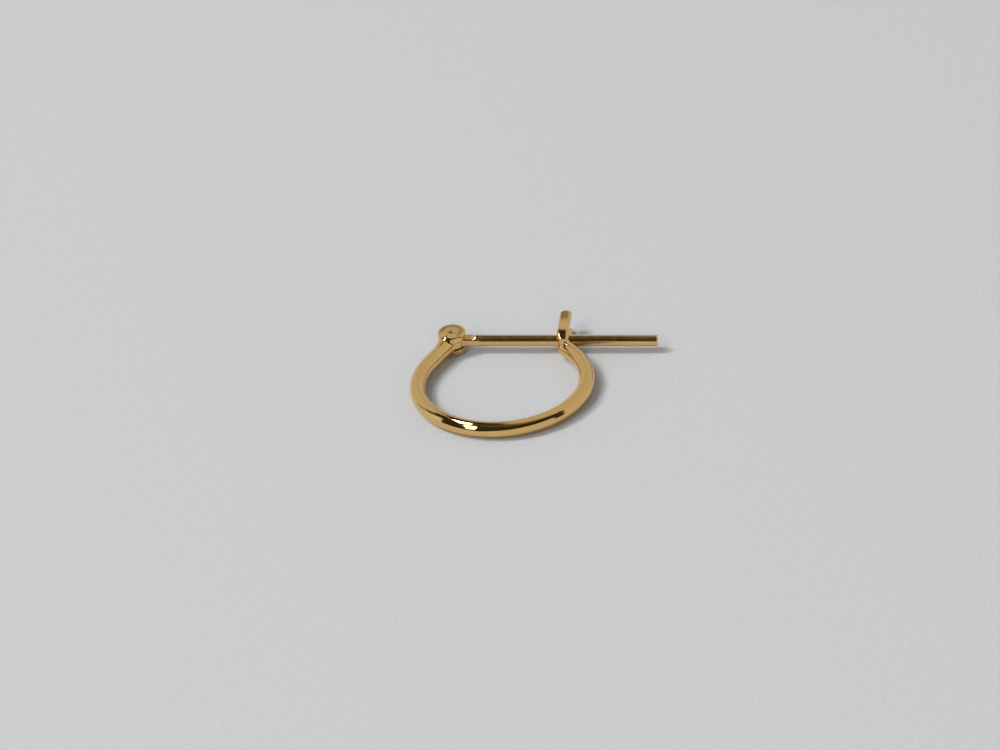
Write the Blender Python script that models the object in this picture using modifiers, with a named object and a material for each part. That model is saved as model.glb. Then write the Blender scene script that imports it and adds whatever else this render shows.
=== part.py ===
"""Hinged hoop earring: a round-wire hoop with a straight ear pin across its gap.

The hoop is a plain round wire bent to about three quarters of a circle. Its left end
carries two small round ears, and the ear pin's eye turns on a rivet between them. Its
right end carries an open fork of two prongs. The pin swings into the fork from the
outside, and its long end passes on beyond the fork. Ears, fork and wire are soldered
together and are one solid.

The earring lies flat. The hoop's own frame has its origin at the centre of the circle,
X along the pin toward its free end, Y from the wire's middle toward the pin, and Z out
of the hoop's plane. The hinge and the fork are taller than the wire, so the hoop is
pitched a little: the front of the wire, the rivet and the fork all touch the ground.
Lengths are in metres.
"""
import math

import bmesh
import bpy
from mathutils import Matrix, Vector

MM = 0.001

# ---- driving dimensions -----------------------------------------------------------
WIRE_DIAMETER = 1.05 * MM          # round hoop wire
HOOP_RADIUS = 5.50 * MM            # to the wire's centreline
HINGE_END_ANGLE = 157.0            # degrees, where the circle ends toward the hinge
CATCH_END_ANGLE = 47.0             # degrees, where the circle ends at the fork

PIN_DIAMETER = 0.76 * MM
PIN_LINE_Y = 5.00 * MM             # the pin's axis, behind the hoop's centre
PIN_LENGTH = 13.65 * MM            # from the hinge's axis to the free end
PIN_SHOULDER = 1.34 * MM           # where the round shank starts, from the hinge's axis
PIN_END_CHAMFER = 0.05 * MM

HINGE_X = -3.885 * MM
EAR_DIAMETER = 1.86 * MM
EAR_SPREAD = 1.44 * MM             # over both ears
EYE_DIAMETER = 1.70 * MM
EYE_THICKNESS = 0.50 * MM
EYE_SIDE_GAP = 0.04 * MM           # between the eye and each ear
EYE_SLOT_RADIUS = 1.01 * MM        # the slot sawn for the eye
TONGUE_WIDTH = 0.76 * MM           # the flat between the eye and the round shank
NECK_LENGTH = 1.30 * MM            # the wire swells over this length to meet the ears

RIVET_DIAMETER = 0.50 * MM
RIVET_FIT = 0.03 * MM              # radial, to the eye that turns on it
RIVET_SEAT = 0.015 * MM            # radial, to the ears
RIVET_HEAD_DIAMETER = 0.96 * MM
RIVET_HEAD_HEIGHT = 0.055 * MM
RIVET_SPREAD = 1.56 * MM           # over both heads

FORK_X = 3.50 * MM
FORK_WIDTH = 0.80 * MM             # along the pin
FORK_ROOT_Y = 3.86 * MM            # inside the wire's end
FORK_TIP_Y = 7.55 * MM
FORK_EDGE = 0.05 * MM              # rounding of the prongs' edges

# The fork seen along the pin, upper half. y: distance beyond the pin's axis;
# gap: half the slot; top: half the fork's height. The prongs bow around the pin,
# draw in behind it, and spread again at their tips.
FORK_COLUMNS = ("y", "gap", "top")
FORK_ROWS = (
    (0.00, 0.425, 0.775),
    (0.35, 0.420, 0.770),
    (0.80, 0.400, 0.715),
    (1.20, 0.395, 0.680),
    (1.60, 0.410, 0.695),
    (2.00, 0.450, 0.745),
    (2.42, 0.520, 0.800),
)
FORK_SEAT_RADIUS = 0.415 * MM      # the slot's round bottom, in front of the pin's axis

PITCH = math.radians(1.39)         # back of the earring raised

# ---- scene and collections --------------------------------------------------------
for old in list(bpy.data.objects):
    bpy.data.objects.remove(old, do_unlink=True)

parts = bpy.data.collections.new("hoop_earring")
tools = bpy.data.collections.new("hoop_earring_shapes")
for collection in (parts, tools):
    bpy.context.scene.collection.children.link(collection)


def gold(name, colour, roughness):
    material = bpy.data.materials.new(name)
    material.use_nodes = True
    shader = material.node_tree.nodes["Principled BSDF"]
    shader.inputs["Base Color"].default_value = (*colour, 1.0)
    shader.inputs["Metallic"].default_value = 1.0
    shader.inputs["Roughness"].default_value = roughness
    return material


hoop_gold = gold("hoop_gold", (0.86, 0.60, 0.27), 0.10)
pin_gold = gold("pin_gold", (0.84, 0.60, 0.29), 0.12)
rivet_gold = gold("rivet_gold", (0.84, 0.58, 0.26), 0.16)

# The hoop's frame on the ground. The pitch turns it about X, then it is set down so
# that the wire's front touches the ground and the outline is centred on the origin.
frame = bpy.data.objects.new("hoop_frame", None)
frame.rotation_euler = (PITCH, 0.0, 0.0)
x_left = -(HOOP_RADIUS + WIRE_DIAMETER / 2)
x_right = HINGE_X + PIN_LENGTH
tip_z = (FORK_ROWS[-1][1] + FORK_ROWS[-1][2]) / 2 * MM
y_front = -(HOOP_RADIUS * math.cos(PITCH) + WIRE_DIAMETER / 2)
y_back = FORK_TIP_Y * math.cos(PITCH) + tip_z * math.sin(PITCH)
frame.location = (
    -(x_left + x_right) / 2,
    -(y_front + y_back) / 2,
    WIRE_DIAMETER / 2 + HOOP_RADIUS * math.sin(PITCH),
)
parts.objects.link(frame)
hinge_point = Vector((HINGE_X, PIN_LINE_Y, 0.0))


# ---- helpers ----------------------------------------------------------------------
def place(name, mesh, collection, location=(0, 0, 0), rotation=(0, 0, 0), material=None):
    obj = bpy.data.objects.new(name, mesh)
    obj.parent = frame
    obj.location = location
    obj.rotation_euler = rotation
    collection.objects.link(obj)
    if material is not None:
        mesh.materials.append(material)
    if collection is tools:
        obj.hide_render = True
        obj.display_type = 'WIRE'
    return obj


def smooth(mesh, angle=35.0):
    mesh.shade_smooth()
    mesh.set_sharp_from_angle(angle=math.radians(angle))
    return mesh


def cylinder(name, radius, depth, sides, radius_top=None):
    bm = bmesh.new()
    bmesh.ops.create_cone(
        bm, cap_ends=True, segments=sides, radius1=radius,
        radius2=radius if radius_top is None else radius_top, depth=depth)
    mesh = bpy.data.meshes.new(name)
    bm.to_mesh(mesh)
    bm.free()
    return smooth(mesh)


def box(name, size):
    bm = bmesh.new()
    bmesh.ops.create_cube(bm, size=1.0)
    bmesh.ops.scale(bm, vec=size, verts=bm.verts)
    mesh = bpy.data.meshes.new(name)
    bm.to_mesh(mesh)
    bm.free()
    return mesh


def outline(name, points, thickness):
    """A flat outline in X and Y, closed, with the given thickness along Z."""
    curve = bpy.data.curves.new(name, 'CURVE')
    curve.dimensions = '2D'
    curve.fill_mode = 'BOTH'
    curve.extrude = thickness / 2
    spline = curve.splines.new('POLY')
    spline.points.add(len(points) - 1)
    for point, (x, y) in zip(spline.points, points):
        point.co = (x, y, 0.0, 1.0)
    spline.use_cyclic_u = True
    return curve


def tube(name, points, radius, resolution):
    curve = bpy.data.curves.new(name, 'CURVE')
    curve.dimensions = '3D'
    curve.bevel_depth = radius
    curve.bevel_resolution = resolution
    curve.use_fill_caps = True
    spline = curve.splines.new('POLY')
    spline.points.add(len(points) - 1)
    for point, co in zip(spline.points, points):
        point.co = (*co, 1.0)
    return curve


def to_mesh(name, curve):
    """The curve's solid as a mesh with its caps welded on."""
    holder = bpy.data.objects.new(name + "_curve", curve)
    tools.objects.link(holder)
    bpy.context.view_layer.update()
    evaluated = holder.evaluated_get(bpy.context.evaluated_depsgraph_get())
    mesh = bpy.data.meshes.new_from_object(evaluated)
    mesh.name = name
    bpy.data.objects.remove(holder, do_unlink=True)
    bm = bmesh.new()
    bm.from_mesh(mesh)
    bmesh.ops.remove_doubles(bm, verts=bm.verts, dist=1e-7)
    bmesh.ops.recalc_face_normals(bm, faces=bm.faces)
    bm.to_mesh(mesh)
    bm.free()
    return smooth(mesh)


def boolean(target, operation, other):
    modifier = target.modifiers.new(operation.lower() + "_" + other.name, 'BOOLEAN')
    modifier.operation = operation
    modifier.solver = 'EXACT'
    modifier.object = other


def spline_value(knots, values, at):
    """Smooth interpolation through the knots, with slopes from the neighbours."""
    at = min(max(at, knots[0]), knots[-1])
    i = max(k for k in range(len(knots) - 1) if knots[k] <= at)

    def slope(k):
        low, high = max(k - 1, 0), min(k + 1, len(knots) - 1)
        return (values[high] - values[low]) / (knots[high] - knots[low])

    step = knots[i + 1] - knots[i]
    t = (at - knots[i]) / step
    return ((2 * t**3 - 3 * t**2 + 1) * values[i] + (t**3 - 2 * t**2 + t) * step * slope(i)
            + (-2 * t**3 + 3 * t**2) * values[i + 1] + (t**3 - t**2) * step * slope(i + 1))


def quarter_turns(centre, radius, start, end, steps):
    """Points along a circular arc, in degrees."""
    return [(centre[0] + radius * math.cos(math.radians(start + (end - start) * k / steps)),
             centre[1] + radius * math.sin(math.radians(start + (end - start) * k / steps)))
            for k in range(steps + 1)]


# ---- hoop wire --------------------------------------------------------------------
def wire_route():
    """Centreline from the hinge around the front to the fork, in the hoop's plane.

    The circle ends short of the hinge, and the wire runs on nearly straight to the ears.
    """
    start, end = HINGE_END_ANGLE, 360.0 + CATCH_END_ANGLE
    join = Vector((HOOP_RADIUS * math.cos(math.radians(start)),
                   HOOP_RADIUS * math.sin(math.radians(start)), 0.0))
    heading = Vector((math.sin(math.radians(start)), -math.cos(math.radians(start)), 0.0))
    toward = (hinge_point - join).normalized()
    into = hinge_point - 0.52 * MM * toward
    reach = (into - join).length
    route = []
    for k in range(8):
        t = k / 8
        route.append((2 * t**3 - 3 * t**2 + 1) * into
                     + (t**3 - 2 * t**2 + t) * reach * (-toward)
                     + (-2 * t**3 + 3 * t**2) * join
                     + (t**3 - t**2) * reach * (-heading))
    steps = 64
    for k in range(steps + 1):
        angle = math.radians(start + (end - start) * k / steps)
        route.append(Vector((HOOP_RADIUS * math.cos(angle), HOOP_RADIUS * math.sin(angle), 0.0)))
    return route


wire_mesh = to_mesh("hoop", tube("hoop_wire", wire_route(), WIRE_DIAMETER / 2, 6))
hoop = place("hoop", wire_mesh, parts, material=hoop_gold)

# rounded end of the wire under the fork
bm = bmesh.new()
bmesh.ops.create_uvsphere(bm, u_segments=20, v_segments=12, radius=WIRE_DIAMETER / 2 * 0.998)
dome_mesh = bpy.data.meshes.new("wire_end_dome")
bm.to_mesh(dome_mesh)
bm.free()
end_angle = math.radians(CATCH_END_ANGLE)
dome = place("wire_end_dome", smooth(dome_mesh), tools,
             location=(HOOP_RADIUS * math.cos(end_angle), HOOP_RADIUS * math.sin(end_angle), 0.0),
             rotation=(0.0, math.radians(90.0), end_angle + math.radians(90.0)))
boolean(hoop, 'UNION', dome)

# swelling of the wire where it meets the ears
wire_end, wire_behind = wire_route()[0], wire_route()[4]
neck_run = (wire_end - wire_behind).normalized() * NECK_LENGTH
neck_end = wire_end
neck_start = neck_end - neck_run
neck = place("ear_neck",
             cylinder("ear_neck", WIRE_DIAMETER / 2 * 0.98, neck_run.length, 24,
                      EAR_SPREAD / 2 * 0.97),
             tools,
             location=(neck_start + neck_end) / 2,
             rotation=(math.radians(-90.0), 0.0, -math.atan2(neck_run.x, neck_run.y)))
boolean(hoop, 'UNION', neck)

# the two ears start as one drum on the hinge's axis
drum = place("ear_drum", cylinder("ear_drum", EAR_DIAMETER / 2, EAR_SPREAD, 40), tools,
             location=hinge_point)
edge = drum.modifiers.new("rounded_rims", 'BEVEL')
edge.width = 0.06 * MM
edge.segments = 2
edge.limit_method = 'ANGLE'
edge.angle_limit = math.radians(40.0)
boolean(hoop, 'UNION', drum)

# ---- fork -------------------------------------------------------------------------
knots = [row[FORK_COLUMNS.index("y")] * MM for row in FORK_ROWS]
gaps = [row[FORK_COLUMNS.index("gap")] * MM for row in FORK_ROWS]
tops = [row[FORK_COLUMNS.index("top")] * MM for row in FORK_ROWS]
prong_end = FORK_TIP_Y - PIN_LINE_Y - 0.15 * MM


def fork_outline():
    """The fork seen along the pin, as points (Y, Z), upper and lower halves alike."""
    samples = 18
    upper_inner, upper_outer = [], []
    for k in range(samples + 1):
        y = prong_end * k / samples
        upper_inner.append((PIN_LINE_Y + y, spline_value(knots, gaps, y)))
        upper_outer.append((PIN_LINE_Y + y, spline_value(knots, tops, y)))
    low, high = upper_inner[-1][1], upper_outer[-1][1]
    tip = quarter_turns((PIN_LINE_Y + prong_end, (low + high) / 2), (high - low) / 2, 90, -90, 8)
    root_half = 0.36 * MM
    shoulder = [(FORK_ROOT_Y, root_half)]
    for k in range(1, 7):
        t = k / 7
        ease = t * t * (3 - 2 * t)
        shoulder.append((FORK_ROOT_Y + (PIN_LINE_Y - FORK_ROOT_Y) * t,
                         root_half + (tops[0] - root_half) * ease ** 0.8))
    seat = [(PIN_LINE_Y - FORK_SEAT_RADIUS * math.sin(math.radians(a)),
             gaps[0] * math.cos(math.radians(a))) for a in range(15, 91, 15)]
    upper = shoulder + upper_outer + tip[1:-1] + upper_inner[::-1] + seat
    lower = [(y, -z) for y, z in upper[:-1]]
    return upper + lower[::-1]


def stadium():
    """The fork seen from above, as points (X, Y): straight sides and a rounded tip."""
    half = FORK_WIDTH / 2
    shoulder = FORK_TIP_Y - half * 0.80
    tip = [(FORK_X + half * math.cos(math.radians(a)),
            shoulder + half * 0.80 * math.sin(math.radians(a))) for a in range(0, 181, 15)]
    root = FORK_ROOT_Y - 0.30 * MM
    return [(FORK_X - half, root), (FORK_X + half, root)] + tip


# the outline lies in the curve's X and Y, and stands up along the pin
fork_mesh = to_mesh("fork", outline("fork_outline", fork_outline(), 1.6 * FORK_WIDTH))
fork_mesh.transform(Matrix(((0, 0, 1, FORK_X), (1, 0, 0, 0), (0, 1, 0, 0), (0, 0, 0, 1))))
fork = place("fork", fork_mesh, tools)
plan_mesh = to_mesh("fork_plan", outline("fork_plan_outline", stadium(), 3.0 * MM))
plan = place("fork_plan", plan_mesh, tools)
boolean(fork, 'INTERSECT', plan)
edge = fork.modifiers.new("rounded_edges", 'BEVEL')
edge.width = FORK_EDGE
edge.segments = 2
edge.limit_method = 'ANGLE'
edge.angle_limit = math.radians(50.0)
boolean(hoop, 'UNION', fork)

# ---- slot for the eye, the pin's way out, and the rivet's hole ----------------------
slot_height = EYE_THICKNESS + 2 * EYE_SIDE_GAP
slot = place("eye_slot", cylinder("eye_slot", EYE_SLOT_RADIUS, slot_height, 40), tools,
             location=hinge_point)
boolean(hoop, 'DIFFERENCE', slot)
hole = place("ear_hole", cylinder("ear_hole", RIVET_DIAMETER / 2 + RIVET_SEAT, 3.0 * MM, 24),
             tools, location=hinge_point)
boolean(hoop, 'DIFFERENCE', hole)

# ---- ear pin ----------------------------------------------------------------------
# The pin's origin is on the hinge's axis, so that it turns in place.
shank_length = PIN_LENGTH - PIN_SHOULDER
shank_mesh = cylinder("ear_pin", PIN_DIAMETER / 2, shank_length, 24)
shank_mesh.transform(Matrix.Translation((PIN_SHOULDER + shank_length / 2, 0, 0))
                     @ Matrix.Rotation(math.radians(90.0), 4, 'Y'))
ear_pin = place("ear_pin", shank_mesh, parts, location=hinge_point, material=pin_gold)
edge = ear_pin.modifiers.new("rounded_ends", 'BEVEL')
edge.width = PIN_END_CHAMFER
edge.segments = 2
edge.limit_method = 'ANGLE'
edge.angle_limit = math.radians(50.0)

tongue_mesh = box("tongue", (1.55 * MM, TONGUE_WIDTH, EYE_THICKNESS * 0.999))
tongue = place("tongue", tongue_mesh, tools, location=hinge_point + Vector((0.80 * MM, 0, 0)))
edge = tongue.modifiers.new("rounded_edges", 'BEVEL')
edge.width = 0.05 * MM
edge.segments = 2
boolean(ear_pin, 'UNION', tongue)
eye = place("eye", cylinder("eye", EYE_DIAMETER / 2, EYE_THICKNESS, 40), tools,
            location=hinge_point)
edge = eye.modifiers.new("rounded_rims", 'BEVEL')
edge.width = 0.05 * MM
edge.segments = 2
edge.limit_method = 'ANGLE'
edge.angle_limit = math.radians(40.0)
boolean(ear_pin, 'UNION', eye)
eye_hole = place("eye_hole", cylinder("eye_hole", RIVET_DIAMETER / 2 + RIVET_FIT, 2.0 * MM, 24),
                 tools, location=hinge_point)
boolean(ear_pin, 'DIFFERENCE', eye_hole)

# ---- hinge rivet ------------------------------------------------------------------
# A turned shape: the shank, and a low domed head over each ear.
def rivet_profile():
    """Half section (X radius, Z height), outer side, from top to bottom."""
    half = RIVET_SPREAD / 2
    head_radius = RIVET_HEAD_DIAMETER / 2
    under = half - RIVET_HEAD_HEIGHT
    dome = [(head_radius * math.sin(math.radians(a)),
             under + RIVET_HEAD_HEIGHT * math.cos(math.radians(a))) for a in (0, 25, 45, 62, 78, 90)]
    top = dome + [(RIVET_DIAMETER / 2, under - 0.001 * MM)]
    return top + [(x, -z) for x, z in top[::-1]]


bm = bmesh.new()
ring = [bm.verts.new((x, 0.0, z)) for x, z in rivet_profile()]
for a, b in zip(ring, ring[1:]):
    bm.edges.new((a, b))
rivet_mesh = bpy.data.meshes.new("hinge_rivet")
bm.to_mesh(rivet_mesh)
bm.free()
rivet = place("hinge_rivet", rivet_mesh, parts, location=hinge_point, material=rivet_gold)
turn = rivet.modifiers.new("turned", 'SCREW')
turn.angle = math.radians(360.0)
turn.steps = 32
turn.render_steps = 32
turn.use_merge_vertices = True
turn.merge_threshold = 1e-7
turn.use_smooth_shade = True

bpy.context.view_layer.update()
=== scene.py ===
"""Looks of the hinged hoop earring: polished yellow gold, lying on a pale matte surface.

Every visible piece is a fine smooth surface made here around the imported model. Each one is
first described as a distance function in the hoop's own frame, in millimetres, so that the
soldered joints get soft fillets, and is then turned into a mesh whose points lie on the
surface.
"""
import math

import bpy
import numpy as np
from mathutils import Matrix, Vector


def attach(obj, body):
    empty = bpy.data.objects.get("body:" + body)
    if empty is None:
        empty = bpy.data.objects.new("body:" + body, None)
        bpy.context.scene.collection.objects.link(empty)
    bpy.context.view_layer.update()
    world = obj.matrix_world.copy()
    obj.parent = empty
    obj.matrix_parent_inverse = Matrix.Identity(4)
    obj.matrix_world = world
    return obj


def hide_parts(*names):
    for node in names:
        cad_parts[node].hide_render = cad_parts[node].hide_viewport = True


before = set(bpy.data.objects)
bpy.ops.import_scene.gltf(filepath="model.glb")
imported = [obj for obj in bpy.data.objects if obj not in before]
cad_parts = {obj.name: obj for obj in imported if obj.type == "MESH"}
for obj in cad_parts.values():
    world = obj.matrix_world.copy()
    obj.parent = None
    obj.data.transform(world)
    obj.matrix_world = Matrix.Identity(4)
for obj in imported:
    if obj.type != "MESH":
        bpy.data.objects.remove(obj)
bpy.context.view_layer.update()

MM = 0.001

# ---- sizes, in millimetres, as in the model -----------------------------------------
WIRE_R = 0.525
HOOP_R = 5.50
HINGE_END = math.radians(157.0)
CATCH_END = math.radians(47.0)
PIN_R = 0.38
PIN_Y = 5.00
PIN_LENGTH = 13.65
PIN_SHOULDER = 1.34
HINGE_X = -3.885
EAR_R = 0.93
EAR_HALF = 0.72
EYE_R = 0.85
EYE_HALF = 0.25
SLOT_R = 1.01
SLOT_HALF = 0.29
TONGUE_HALF = 0.38
FORK_X = 3.50
FORK_HALF = 0.40
FORK_ROOT = 3.86
FORK_TIP = 7.55
FORK_ROWS = (          # beyond the pin's axis, half slot, half height
    (0.00, 0.425, 0.775),
    (0.35, 0.420, 0.770),
    (0.80, 0.400, 0.715),
    (1.20, 0.395, 0.680),
    (1.60, 0.410, 0.695),
    (2.00, 0.450, 0.745),
    (2.42, 0.520, 0.800),
)
PITCH = math.radians(1.39)
CELL = 0.046           # spacing of the surface grid

# the hoop's frame in the row's frame
HOOP_CENTRE = Vector((-0.00187, -0.0007702, 0.00065842))
TURN = Matrix.Rotation(PITCH, 4, 'X')
PLACE = Matrix.Translation(HOOP_CENTRE) @ TURN


# ---- distance functions ---------------------------------------------------------------
def smooth_min(a, b, k):
    h = np.clip(0.5 + 0.5 * (b - a) / k, 0.0, 1.0)
    return b + (a - b) * h - k * h * (1.0 - h)


def smooth_max(a, b, k):
    return -smooth_min(-a, -b, k)


def smooth_step(x):
    x = np.clip(x, 0.0, 1.0)
    return x * x * (3.0 - 2.0 * x)


def rounded_disc(x, y, z, radius, half, rounding):
    """A disc on the Z axis with rounded rims."""
    dr = np.hypot(x, y) - (radius - rounding)
    dz = np.abs(z) - (half - rounding)
    return (np.hypot(np.maximum(dr, 0), np.maximum(dz, 0))
            + np.minimum(np.maximum(dr, dz), 0.0) - rounding)


def table(at, column):
    """Smooth interpolation in the fork's table, with slopes from the neighbours."""
    ks = np.array([row[0] for row in FORK_ROWS])
    vs = np.array([row[column] for row in FORK_ROWS])
    slopes = np.array([(vs[min(i + 1, len(vs) - 1)] - vs[max(i - 1, 0)])
                       / (ks[min(i + 1, len(vs) - 1)] - ks[max(i - 1, 0)])
                       for i in range(len(vs))])
    at = np.clip(at, ks[0], ks[-1])
    i = np.clip(np.searchsorted(ks, at, side="right") - 1, 0, len(ks) - 2)
    step = ks[i + 1] - ks[i]
    t = (at - ks[i]) / step
    return ((2 * t**3 - 3 * t**2 + 1) * vs[i] + (t**3 - 2 * t**2 + t) * step * slopes[i]
            + (-2 * t**3 + 3 * t**2) * vs[i + 1] + (t**3 - t**2) * step * slopes[i + 1])


def hinge_run(count):
    """Points of the wire's nearly straight run from the circle to the ears."""
    join = np.array([HOOP_R * math.cos(HINGE_END), HOOP_R * math.sin(HINGE_END)])
    heading = np.array([math.sin(HINGE_END), -math.cos(HINGE_END)])
    hinge = np.array([HINGE_X, PIN_Y])
    toward = (hinge - join) / np.linalg.norm(hinge - join)
    into = hinge - 0.52 * toward
    reach = np.linalg.norm(into - join)
    t = np.linspace(0, 1, count)[:, None]
    return ((2 * t**3 - 3 * t**2 + 1) * join + (t**3 - 2 * t**2 + t) * reach * heading
            + (-2 * t**3 + 3 * t**2) * into + (t**3 - t**2) * reach * toward)


RUN = hinge_run(25)
RUN_LENGTH = np.linalg.norm(np.diff(RUN, axis=0), axis=1).sum()


def wire(x, y, z):
    """The hoop wire: an arc, the straight run to the hinge, and a round end at the fork."""
    middle = (HINGE_END + CATCH_END) / 2          # the gap's middle direction
    half_gap = (HINGE_END - CATCH_END) / 2
    angle = np.arctan2(y, x) - middle
    angle = (angle + math.pi) % (2 * math.pi) - math.pi
    in_arc = np.abs(angle) > half_gap
    on_arc = np.hypot(x, y) - HOOP_R
    end = middle + np.where(angle > 0, half_gap, -half_gap)
    to_end = np.hypot(x - HOOP_R * np.cos(end), y - HOOP_R * np.sin(end))
    flat = np.where(in_arc, np.abs(on_arc), to_end)
    body = np.hypot(flat, z) - WIRE_R
    near = (x < -2.6) & (y > 1.2)
    if near.any():
        px, py, pz = x[near], y[near], z[near]
        best = np.full(px.shape, 1e9)
        along = np.zeros(px.shape)
        walked = 0.0
        for a, b in zip(RUN, RUN[1:]):
            d = b - a
            length = math.hypot(*d)
            t = np.clip(((px - a[0]) * d[0] + (py - a[1]) * d[1]) / length**2, 0, 1)
            dist = np.hypot(px - a[0] - t * d[0], py - a[1] - t * d[1])
            take = dist < best
            best = np.where(take, dist, best)
            along = np.where(take, walked + t * length, along)
            walked += length
        swell = smooth_step((along - (RUN_LENGTH - 1.35)) / 1.35)
        # the wire swells more in height than in width, to meet both ears
        run = (np.hypot(best / (WIRE_R + 0.10 * swell), pz / (WIRE_R + 0.165 * swell)) - 1.0) \
            * (WIRE_R + 0.10 * swell)
        body[near] = np.minimum(body[near], run)
    return body


def fork(x, y, z):
    """Two prongs, bowed around the pin, drawn in behind it and spread at their tips."""
    out = y - PIN_Y
    high = np.abs(z)
    root = FORK_ROOT - PIN_Y
    crest = 0.26                                  # the shoulder rises to just beyond the pin
    shoulder = np.clip((out - root) / (crest - root), 0.0, 1.0)
    shoulder_top = 0.36 + (FORK_ROWS[0][2] - 0.36) * smooth_step(shoulder) ** 0.8
    top = np.where(out > crest, table(out, 2), shoulder_top)
    gap = table(out, 1)
    last = FORK_TIP - PIN_Y - 0.15
    centre, half = (top + gap) / 2, (top - gap) / 2
    prong = np.abs(high - centre) - half
    tip_centre = (FORK_ROWS[-1][1] + FORK_ROWS[-1][2]) / 2
    tip_half = (FORK_ROWS[-1][2] - FORK_ROWS[-1][1]) / 2
    tip = np.hypot(out - last, high - tip_centre) - tip_half
    prong = np.where(out > last, tip, prong * 0.96)
    block = np.maximum(high - top, root - out) * 0.9
    seat = (np.hypot(out / 0.415, high / FORK_ROWS[0][1]) - 1.0) * 0.415
    base = smooth_max(block, -seat, 0.03)
    profile = np.where(out < 0, base, np.where(high > gap * 0.5, prong, gap - high))
    # straight sides, rounded off at the tips as seen from above
    shoulder_y = FORK_TIP - FORK_HALF * 0.80
    side = np.abs(x - FORK_X) - FORK_HALF
    round_off = (np.hypot((x - FORK_X) / FORK_HALF, (y - shoulder_y) / (FORK_HALF * 0.80)) - 1.0) \
        * FORK_HALF * 0.85
    plan = np.where(y > shoulder_y, round_off, side)
    # the root's inner corner is filed away to follow the wire
    corner = (FORK_X - FORK_HALF - x) * 0.82 + (4.62 - y) * 0.57
    plan = smooth_max(plan, corner, 0.20)
    return smooth_max(profile, plan, 0.18)


def hoop_shape(x, y, z):
    body = wire(x, y, z)
    hx, hy = x - HINGE_X, y - PIN_Y
    drum = rounded_disc(hx, hy, z, EAR_R, EAR_HALF, 0.12)
    body = smooth_min(body, drum, 0.26)
    body = smooth_min(body, fork(x, y, z), 0.26)
    # nothing may stand in the pin's way into the fork
    way = np.where(y > PIN_Y, np.abs(z), np.hypot(y - PIN_Y, z)) - (PIN_R + 0.012)
    beside = np.maximum(way, -(x - 1.5))
    body = smooth_max(body, -beside, 0.02)
    slot = np.maximum(np.hypot(hx, hy) - SLOT_R, np.abs(z) - SLOT_HALF)
    body = smooth_max(body, -slot, 0.05)
    hole = np.hypot(hx, hy) - 0.265
    return np.maximum(body, -hole)


def pin_shape(x, y, z):
    """The ear pin, from its eye on the hinge's axis to its square-cut end."""
    px, py = x - HINGE_X, y - PIN_Y
    across = np.hypot(py, z)
    # the shank, with a softly rounded shoulder and a small rounding at the free end
    radial = across - PIN_R
    shank = smooth_max(radial, px - PIN_LENGTH, 0.10)
    shank = smooth_max(shank, PIN_SHOULDER - px, 0.30)
    flat = smooth_max(np.abs(py) - TONGUE_HALF, np.abs(z) - EYE_HALF, 0.10)
    flat = np.maximum(flat, np.maximum(-px, px - 1.75))
    body = smooth_min(shank, flat, 0.10)
    eye = rounded_disc(px, py, z, EYE_R, EYE_HALF, 0.06)
    body = smooth_min(body, eye, 0.12)
    # the eye and the tongue stay as flat as the slot that they sit in
    inside = np.hypot(px, py) - SLOT_R
    body = np.where(inside < 0, np.maximum(body, np.abs(z) - EYE_HALF), body)
    hole = np.hypot(px, py) - 0.28
    return np.maximum(body, -hole)


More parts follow.
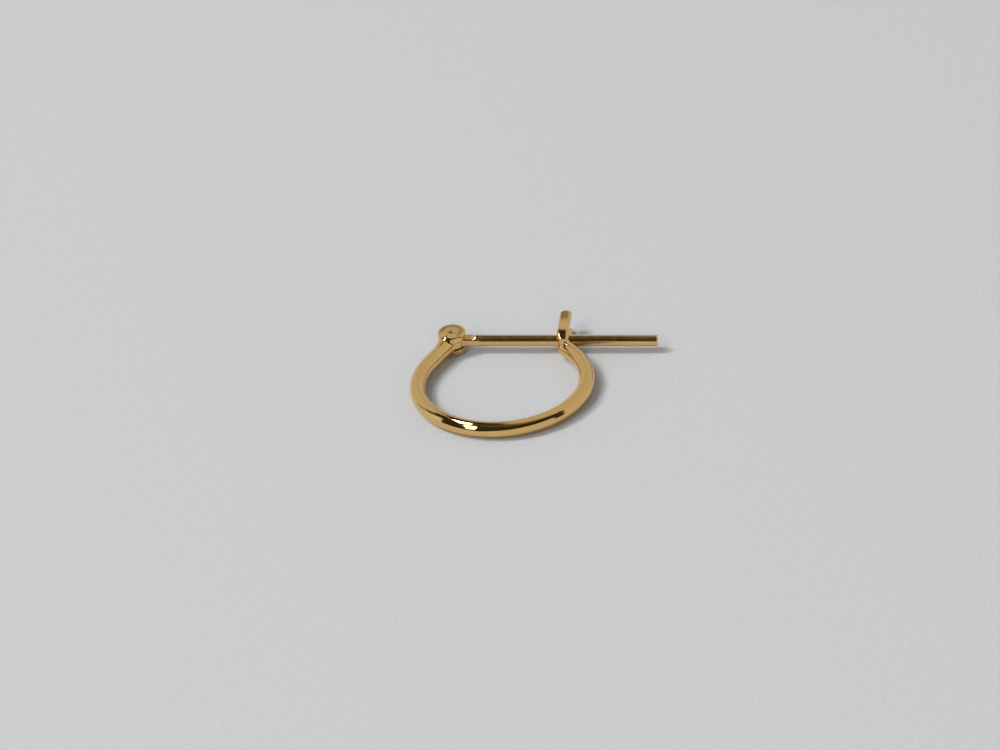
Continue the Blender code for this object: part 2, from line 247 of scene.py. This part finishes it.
# ---- surface from a distance function ---------------------------------------------------
def surface(shape, low, high, cell):
    """Quads of the surface in a box, one point per crossed cell, moved onto the surface."""
    axes = [np.arange(low[i], high[i] + cell, cell) for i in range(3)]
    n = [len(a) for a in axes]
    field = np.empty(n, dtype=np.float32)
    for i in range(n[0]):                       # slice by slice keeps the memory small
        gy, gz = np.meshgrid(axes[1], axes[2], indexing="ij")
        gx = np.full(gy.shape, axes[0][i])
        field[i] = shape(gx, gy, gz)
    sign = field < 0
    # cells with a change of sign among their corners
    count = np.zeros([k - 1 for k in n], dtype=np.int8)
    for a in (0, 1):
        for b in (0, 1):
            for c in (0, 1):
                count += sign[a:n[0] - 1 + a, b:n[1] - 1 + b, c:n[2] - 1 + c]
    crossed = (count > 0) & (count < 8)
    index = np.full(crossed.shape, -1, dtype=np.int64)
    cells = np.argwhere(crossed)
    index[crossed] = np.arange(len(cells))
    # each cell's point: the mean of the crossings on its twelve edges
    total = np.zeros((len(cells), 3))
    hits = np.zeros(len(cells))
    corners = [(a, b, c) for a in (0, 1) for b in (0, 1) for c in (0, 1)]
    for p in corners:
        for axis in range(3):
            if p[axis] == 1:
                continue
            q = list(p)
            q[axis] = 1
            vp = field[cells[:, 0] + p[0], cells[:, 1] + p[1], cells[:, 2] + p[2]]
            vq = field[cells[:, 0] + q[0], cells[:, 1] + q[1], cells[:, 2] + q[2]]
            cross = (vp < 0) != (vq < 0)
            t = np.where(cross, vp / np.where(cross, vp - vq, 1.0), 0.0)
            at = np.tile(np.array(p, dtype=float), (len(cells), 1))
            at[:, axis] += t
            total += np.where(cross[:, None], at, 0.0)
            hits += cross
    points = (cells + total / hits[:, None]) * cell + np.array([a[0] for a in axes])

    def gradient(p, h=0.004):
        g = np.empty_like(p)
        for k in range(3):
            up, down = p.copy(), p.copy()
            up[:, k] += h
            down[:, k] -= h
            g[:, k] = (shape(*up.T) - shape(*down.T)) / (2 * h)
        return g

    for _ in range(5):
        g = gradient(points)
        size = np.maximum((g * g).sum(1), 0.05)
        move = -(shape(*points.T) / size)[:, None] * g
        length = np.linalg.norm(move, axis=1, keepdims=True)
        points += move * np.minimum(1.0, 0.35 * cell / np.maximum(length, 1e-9))
    # quads around each grid edge that crosses the surface
    quads = []
    for axis in range(3):
        b, c = (axis + 1) % 3, (axis + 2) % 3
        first = [slice(0, k) for k in n]
        second = [slice(0, k) for k in n]
        first[axis] = slice(0, n[axis] - 1)
        second[axis] = slice(1, n[axis])
        inside_a, inside_b = sign[tuple(first)], sign[tuple(second)]
        edges = np.argwhere(inside_a != inside_b)
        keep = ((edges[:, b] > 0) & (edges[:, c] > 0)
                & (edges[:, b] < n[b] - 1) & (edges[:, c] < n[c] - 1))
        edges = edges[keep]
        ring = []
        for db, dc in ((-1, -1), (0, -1), (0, 0), (-1, 0)):
            cell_at = edges.copy()
            cell_at[:, b] += db
            cell_at[:, c] += dc
            ring.append(index[cell_at[:, 0], cell_at[:, 1], cell_at[:, 2]])
        ring = np.stack(ring, axis=1)
        leaves = inside_a[edges[:, 0], edges[:, 1], edges[:, 2]]
        quads.append(np.where(leaves[:, None], ring, ring[:, ::-1]))
    quads = np.concatenate(quads)
    normals = gradient(points)
    normals /= np.maximum(np.linalg.norm(normals, axis=1, keepdims=True), 1e-9)
    return points, quads, normals


def make_piece(name, shape, low, high, material, cell=CELL):
    points, quads, normals = surface(shape, low, high, cell)
    mesh = bpy.data.meshes.new(name)
    mesh.vertices.add(len(points))
    mesh.loops.add(len(quads) * 4)
    mesh.polygons.add(len(quads))
    rotate = np.array(TURN.to_3x3())
    world = points @ rotate.T * MM + np.array(HOOP_CENTRE)
    mesh.vertices.foreach_set("co", world.astype(np.float32).ravel())
    mesh.loops.foreach_set("vertex_index", quads.astype(np.int32).ravel())
    mesh.polygons.foreach_set("loop_start", np.arange(0, len(quads) * 4, 4, dtype=np.int32))
    mesh.update(calc_edges=True)
    mesh.validate()
    mesh.shade_smooth()
    mesh.normals_split_custom_set_from_vertices((normals @ rotate.T).tolist())
    mesh.materials.append(material)
    obj = bpy.data.objects.new(name, mesh)
    bpy.context.scene.collection.objects.link(obj)
    return obj


# ---- materials --------------------------------------------------------------------------
def gold(name, colour, deep, rough_low, rough_high, scratch):
    """Polished gold: slight change of colour, polish that varies, and fine rubbed lines."""
    material = bpy.data.materials.new(name)
    material.use_nodes = True
    nodes, links = material.node_tree.nodes, material.node_tree.links
    shader = nodes["Principled BSDF"]
    shader.inputs["Metallic"].default_value = 1.0
    where = nodes.new("ShaderNodeTexCoord")

    tone = nodes.new("ShaderNodeTexNoise")
    tone.inputs["Scale"].default_value = 420.0
    tone.inputs["Detail"].default_value = 3.0
    links.new(where.outputs["Object"], tone.inputs["Vector"])
    mix = nodes.new("ShaderNodeMix")
    mix.data_type = 'RGBA'
    mix.inputs["A"].default_value = (*colour, 1.0)
    mix.inputs["B"].default_value = (*deep, 1.0)
    links.new(tone.outputs["Fac"], mix.inputs["Factor"])
    links.new(mix.outputs["Result"], shader.inputs["Base Color"])

    rub = nodes.new("ShaderNodeTexNoise")
    rub.inputs["Scale"].default_value = 2600.0
    rub.inputs["Detail"].default_value = 4.0
    rub.inputs["Roughness"].default_value = 0.6
    links.new(where.outputs["Object"], rub.inputs["Vector"])
    polish = nodes.new("ShaderNodeMapRange")
    polish.inputs["From Min"].default_value = 0.3
    polish.inputs["From Max"].default_value = 0.7
    polish.inputs["To Min"].default_value = rough_low
    polish.inputs["To Max"].default_value = rough_high
    links.new(rub.outputs["Fac"], polish.inputs["Value"])
    links.new(polish.outputs["Result"], shader.inputs["Roughness"])

    # fine rubbed lines and a slow unevenness of the hand-finished surface
    stretch = nodes.new("ShaderNodeMapping")
    stretch.inputs["Scale"].default_value = (1.0, 0.22, 1.6)
    stretch.inputs["Rotation"].default_value = (0.3, 0.5, 0.9)
    links.new(where.outputs["Object"], stretch.inputs["Vector"])
    lines = nodes.new("ShaderNodeTexNoise")
    lines.inputs["Scale"].default_value = 9000.0
    lines.inputs["Detail"].default_value = 3.0
    links.new(stretch.outputs["Vector"], lines.inputs["Vector"])
    fine = nodes.new("ShaderNodeBump")
    fine.inputs["Strength"].default_value = scratch
    fine.inputs["Distance"].default_value = 0.000004
    links.new(lines.outputs["Fac"], fine.inputs["Height"])
    slow = nodes.new("ShaderNodeTexNoise")
    slow.inputs["Scale"].default_value = 700.0
    slow.inputs["Detail"].default_value = 1.0
    links.new(where.outputs["Object"], slow.inputs["Vector"])
    uneven = nodes.new("ShaderNodeBump")
    uneven.inputs["Strength"].default_value = 0.25
    uneven.inputs["Distance"].default_value = 0.00001
    links.new(slow.outputs["Fac"], uneven.inputs["Height"])
    links.new(fine.outputs["Normal"], uneven.inputs["Normal"])
    links.new(uneven.outputs["Normal"], shader.inputs["Normal"])
    return material


hoop_gold = gold("hoop_gold", (0.89, 0.595, 0.240), (0.83, 0.525, 0.190), 0.03, 0.08, 0.10)
pin_gold = gold("pin_gold", (0.85, 0.570, 0.240), (0.77, 0.490, 0.190), 0.10, 0.20, 0.18)
rivet_gold = gold("rivet_gold", (0.85, 0.560, 0.225), (0.76, 0.475, 0.180), 0.10, 0.18, 0.15)

# ---- pieces -----------------------------------------------------------------------------
hoop = make_piece("gold_hoop", hoop_shape, (-6.2, -6.2, -1.0), (6.2, 7.8, 1.0), hoop_gold)
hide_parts("hoop")
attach(hoop, "hoop_body")

pin = make_piece("gold_ear_pin", pin_shape, (-4.95, 3.95, -0.6), (9.95, 6.05, 0.6), pin_gold)
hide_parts("ear_pin")
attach(pin, "pin_body")


def turned(name, profile, segments, material):
    """A turned piece on the hinge's axis, from (radius, height) points, top to bottom."""
    rows = []
    verts, faces = [], []
    for radius, height in profile:
        if radius < 1e-6:
            rows.append([len(verts)])
            verts.append((HINGE_X, PIN_Y, height))
            continue
        rows.append(list(range(len(verts), len(verts) + segments)))
        for k in range(segments):
            a = 2 * math.pi * k / segments
            verts.append((HINGE_X + radius * math.cos(a), PIN_Y + radius * math.sin(a), height))
    for upper, lower in zip(rows, rows[1:]):
        for k in range(segments):
            j = (k + 1) % segments
            if len(upper) == 1:
                faces.append((upper[0], lower[k], lower[j]))
            elif len(lower) == 1:
                faces.append((upper[j], upper[k], lower[0]))
            else:
                faces.append((upper[k], lower[k], lower[j], upper[j]))
    mesh = bpy.data.meshes.new(name)
    mesh.from_pydata([PLACE @ (Vector(v) * MM) for v in verts], [], faces)
    mesh.shade_smooth()
    mesh.set_sharp_from_angle(angle=math.radians(50.0))
    mesh.materials.append(material)
    obj = bpy.data.objects.new(name, mesh)
    bpy.context.scene.collection.objects.link(obj)
    return obj


def rivet_profile():
    """A shank with a low domed head at each end."""
    head, rise, half, shank = 0.48, 0.055, 0.78, 0.25
    under = half - rise
    dome = [(head * math.sin(a), under + rise * math.cos(a))
            for a in [math.radians(v) for v in (0, 8, 16, 24, 32, 40, 48, 56, 64, 72, 80, 86, 90)]]
    top = dome + [(head - 0.02, under - 0.004), (shank, under - 0.004)]
    return top + [(r, -h) for r, h in top[::-1]]


rivet = turned("gold_hinge_rivet", rivet_profile(), 72, rivet_gold)
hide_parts("hinge_rivet")
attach(rivet, "hoop_body")

# ---- camera -----------------------------------------------------------------------------
# Screen directions and the direction back to the camera, in the hoop's frame.
RIGHT = Vector((0.9912, 0.1110, -0.0714))
UP = Vector((-0.0014, 0.5502, 0.8350))
BACK = RIGHT.cross(UP)
DISTANCE = 250.0
SCALE = 15.385                     # pixels to a millimetre at the hoop's centre
offset = Vector((2.28 / SCALE, -7.11 / SCALE, -DISTANCE))
eye_at = -(RIGHT * offset.x + UP * offset.y + BACK * offset.z) * MM
axes = Matrix((RIGHT.normalized(), UP.normalized(), BACK.normalized())).transposed().to_4x4()
camera_data = bpy.data.cameras.new("camera")
camera_data.sensor_fit = 'HORIZONTAL'
camera_data.sensor_width = 36.0
camera_data.lens = 36.0 * SCALE * DISTANCE / 1000.0
camera_data.clip_start = 0.01
camera_data.clip_end = 50.0
camera = bpy.data.objects.new("camera", camera_data)
camera.matrix_world = PLACE @ Matrix.Translation(eye_at) @ axes
bpy.context.scene.collection.objects.link(camera)
bpy.context.scene.camera = camera

# ---- floor ------------------------------------------------------------------------------
floor_mesh = bpy.data.meshes.new("floor")
FLOOR = 1.2
floor_mesh.from_pydata([(-FLOOR, -FLOOR, 0), (FLOOR, -FLOOR, 0), (FLOOR, FLOOR, 0), (-FLOOR, FLOOR, 0)],
                       [], [(0, 1, 2, 3)])
floor = bpy.data.objects.new("floor", floor_mesh)
bpy.context.scene.collection.objects.link(floor)
paper = bpy.data.materials.new("pale_paper")
paper.use_nodes = True
nodes, links = paper.node_tree.nodes, paper.node_tree.links
shader = nodes["Principled BSDF"]
shader.inputs["Roughness"].default_value = 0.85
shader.inputs["Specular IOR Level"].default_value = 0.15
where = nodes.new("ShaderNodeTexCoord")
grain = nodes.new("ShaderNodeTexNoise")
grain.inputs["Scale"].default_value = 3800.0
grain.inputs["Detail"].default_value = 3.0
links.new(where.outputs["Object"], grain.inputs["Vector"])
ramp = nodes.new("ShaderNodeMapRange")
ramp.inputs["From Min"].default_value = 0.25
ramp.inputs["From Max"].default_value = 0.75
ramp.inputs["To Min"].default_value = 0.96
ramp.inputs["To Max"].default_value = 1.04
links.new(grain.outputs["Fac"], ramp.inputs["Value"])
tint = nodes.new("ShaderNodeVectorMath")
tint.operation = 'SCALE'
tint.inputs[0].default_value = (0.530, 0.540, 0.557)
links.new(ramp.outputs["Result"], tint.inputs["Scale"])
links.new(tint.outputs["Vector"], shader.inputs["Base Color"])
bump = nodes.new("ShaderNodeBump")
bump.inputs["Strength"].default_value = 0.25
bump.inputs["Distance"].default_value = 0.00002
links.new(grain.outputs["Fac"], bump.inputs["Height"])
links.new(bump.outputs["Normal"], shader.inputs["Normal"])
floor_mesh.materials.append(paper)

# ---- light ------------------------------------------------------------------------------


def direction(x, y):
    """Unit vector, from degrees off straight overhead: x towards +X and y towards -Y."""
    tilt = math.radians(math.hypot(x, y))
    return Vector((x, -y, 0.0)).normalized() * math.sin(tilt) + Vector((0, 0, math.cos(tilt)))


def pane(name, upper, lower, width, radiance, distance=1.50, colour=(1, 1, 1)):
    """A long soft light between two directions, facing the earring."""
    top, bottom = direction(*upper), direction(*lower)
    toward = (top + bottom).normalized()
    along = (top - bottom).normalized()
    data = bpy.data.lights.new(name, 'AREA')
    data.shape = 'RECTANGLE'
    data.size = 2 * distance * math.tan(math.radians(width / 2))
    data.size_y = 2 * distance * math.tan(top.angle(bottom) / 2)
    data.energy = radiance * math.pi * data.size * data.size_y
    data.color = colour
    obj = bpy.data.objects.new(name, data)
    across = along.cross(toward)
    obj.matrix_world = (Matrix.Translation(toward * distance)
                        @ Matrix((across, along, toward)).transposed().to_4x4())
    bpy.context.scene.collection.objects.link(obj)
    return obj


# the lamp that throws the shadows, a weak fill from the front that softens them, and the
# tall window that the wire mirrors
lamp = pane("lamp", (-34.0, -5.0), (-45.0, 9.0), 12.0, 27.0)
fill = pane("fill", (-4.0, 48.0), (-6.0, 74.0), 56.0, 1.9)
for light in (lamp, fill):
    light.visible_glossy = False
pane("window", (-27.0, 24.0), (-32.5, 46.0), 12.0, 8.0)
pane("window_below", (-35.0, 50.0), (-42.0, 64.0), 12.0, 2.4)
pane("window_above", (-19.5, -18.0), (-25.5, 8.0), 9.5, 8.0)

world = bpy.data.worlds.new("room")
world.use_nodes = True
bpy.context.scene.world = world
nodes, links = world.node_tree.nodes, world.node_tree.links
background = nodes["Background"]
where = nodes.new("ShaderNodeTexCoord")


def math_node(operation, *values):
    node = nodes.new("ShaderNodeMath")
    node.operation = operation
    for socket, value in zip(node.inputs, values):
        if hasattr(value, "is_linked"):
            links.new(value, socket)
        else:
            socket.default_value = value
    return node.outputs["Value"]


# The room drawn flat: degrees from straight overhead, x towards +X and y towards -Y.
parts = nodes.new("ShaderNodeSeparateXYZ")
links.new(where.outputs["Generated"], parts.inputs[0])
off_top = math_node('MULTIPLY', math_node('ARCCOSINE', parts.outputs["Z"]), 180.0 / math.pi)
level = math_node('SQRT', math_node('MAXIMUM', math_node(
    'ADD', math_node('MULTIPLY', parts.outputs["X"], parts.outputs["X"]),
    math_node('MULTIPLY', parts.outputs["Y"], parts.outputs["Y"])), 1e-8))
stretch = math_node('DIVIDE', off_top, level)
flat = nodes.new("ShaderNodeCombineXYZ")
links.new(math_node('MULTIPLY', parts.outputs["X"], stretch), flat.inputs["X"])
links.new(math_node('MULTIPLY', math_node('MULTIPLY', parts.outputs["Y"], -1.0), stretch),
          flat.inputs["Y"])
flat.inputs["Z"].default_value = 1.0


def inside(corners, soft):
    """1 inside a convex outline on the flat drawing of the room, 0 outside it."""
    middle = (sum(c[0] for c in corners) / len(corners), sum(c[1] for c in corners) / len(corners))
    distance = None
    for a, b in zip(corners, corners[1:] + corners[:1]):
        nx, ny = b[1] - a[1], a[0] - b[0]
        size = math.hypot(nx, ny)
        nx, ny = nx / size, ny / size
        offset = -(nx * a[0] + ny * a[1])
        if nx * middle[0] + ny * middle[1] + offset > 0:
            nx, ny, offset = -nx, -ny, -offset
        dot = nodes.new("ShaderNodeVectorMath")
        dot.operation = 'DOT_PRODUCT'
        dot.inputs[1].default_value = (nx, ny, offset)
        links.new(flat.outputs["Vector"], dot.inputs[0])
        distance = dot.outputs["Value"] if distance is None \
            else math_node('MAXIMUM', distance, dot.outputs["Value"])
    ramp = nodes.new("ShaderNodeMapRange")
    ramp.interpolation_type = 'SMOOTHSTEP'
    ramp.inputs["From Min"].default_value = soft
    ramp.inputs["From Max"].default_value = -soft
    links.new(distance, ramp.inputs["Value"])
    return ramp.outputs["Result"]


def around(x, y, radius, soft):
    """1 inside a circle on the flat drawing of the room, 0 outside it."""
    gap = nodes.new("ShaderNodeVectorMath")
    gap.operation = 'DISTANCE'
    gap.inputs[1].default_value = (x, y, 1.0)
    links.new(flat.outputs["Vector"], gap.inputs[0])
    ramp = nodes.new("ShaderNodeMapRange")
    ramp.interpolation_type = 'SMOOTHSTEP'
    ramp.inputs["From Min"].default_value = radius + soft
    ramp.inputs["From Max"].default_value = radius - soft
    links.new(gap.outputs["Value"], ramp.inputs["Value"])
    return ramp.outputs["Result"]


def over(below, mask, colour):
    mix = nodes.new("ShaderNodeMix")
    mix.data_type = 'RGBA'
    links.new(mask, mix.inputs["Factor"])
    if hasattr(below, "is_linked"):
        links.new(below, mix.inputs["A"])
    else:
        mix.inputs["A"].default_value = (*below, 1.0)
    mix.inputs["B"].default_value = (*colour, 1.0)
    return mix.outputs["Result"]


# pale walls: the left one cooler and brighter, the right one warmer, the back one duller
look = (0.55, 0.545, 0.52)
look = over(look, around(-85.0, 20.0, 45.0, 25.0), (0.68, 0.68, 0.71))
look = over(look, around(85.0, -15.0, 34.0, 22.0), (0.60, 0.585, 0.53))
look = over(look, around(60.0, 55.0, 30.0, 20.0), (0.57, 0.56, 0.53))
look = over(look, around(10.0, -75.0, 30.0, 20.0), (0.53, 0.54, 0.55))
# what is darker: a strip on the left, a strip on the right, and the ceiling over the viewer
look = over(look, inside([(-58, -15), (-95, -46), (-106, -34), (-66, -1)], 5.0), (0.34, 0.34, 0.30))
look = over(look, inside([(-34, -13), (-60, -18), (-66, -5), (-44, 5)], 3.0), (0.07, 0.08, 0.07))
look = over(look, inside([(34, -9), (52, -2), (73, 11), (77, 29), (45, 21)], 2.0), (0.05, 0.045, 0.035))
look = over(look, inside([(66, 10), (90, 12), (114, 13), (114, 36), (98, 42), (76, 29), (62, 21)], 2.0),
            (0.04, 0.035, 0.025))
DARK = (0.030, 0.027, 0.023)
look = over(look, inside([(-10, -56), (-22, -27), (-30, 5), (0, 5), (-1, -8)], 2.0), DARK)
look = over(look, inside([(-24, -28), (-38, -20), (-46, -8), (-46, 8), (-20, 8)], 2.0), DARK)
look = over(look, inside([(-44, -4), (-52, 10), (-61, 78), (-36, 85), (0, 75), (0, -4)], 2.0), DARK)
look = over(look, inside([(-52, 10), (-88, 36), (-99, 56), (-70, 90), (-50, 85), (-40, 60)], 2.0), DARK)
look = over(look, inside([(-2, 75), (0, 75.5), (18, 68), (32, 57), (45, 43), (54, 30), (59, 16),
                          (46, 2), (36, -4), (20, 0), (-2, 10)], 2.0), DARK)
look = over(look, around(-4.0, 6.0, 18.0, 14.0), (0.085, 0.075, 0.058))
look = over(look, around(14.0, 2.0, 9.0, 13.0), (0.24, 0.21, 0.16))
look = over(look, inside([(2, -22), (24, -22), (26, -9), (7, -2)], 3.0), (0.50, 0.48, 0.43))
links.new(look, background.inputs["Color"])
background.inputs["Strength"].default_value = 1.0

bpy.context.scene.view_settings.view_transform = 'Standard'
bpy.context.scene.view_settings.look = 'None'
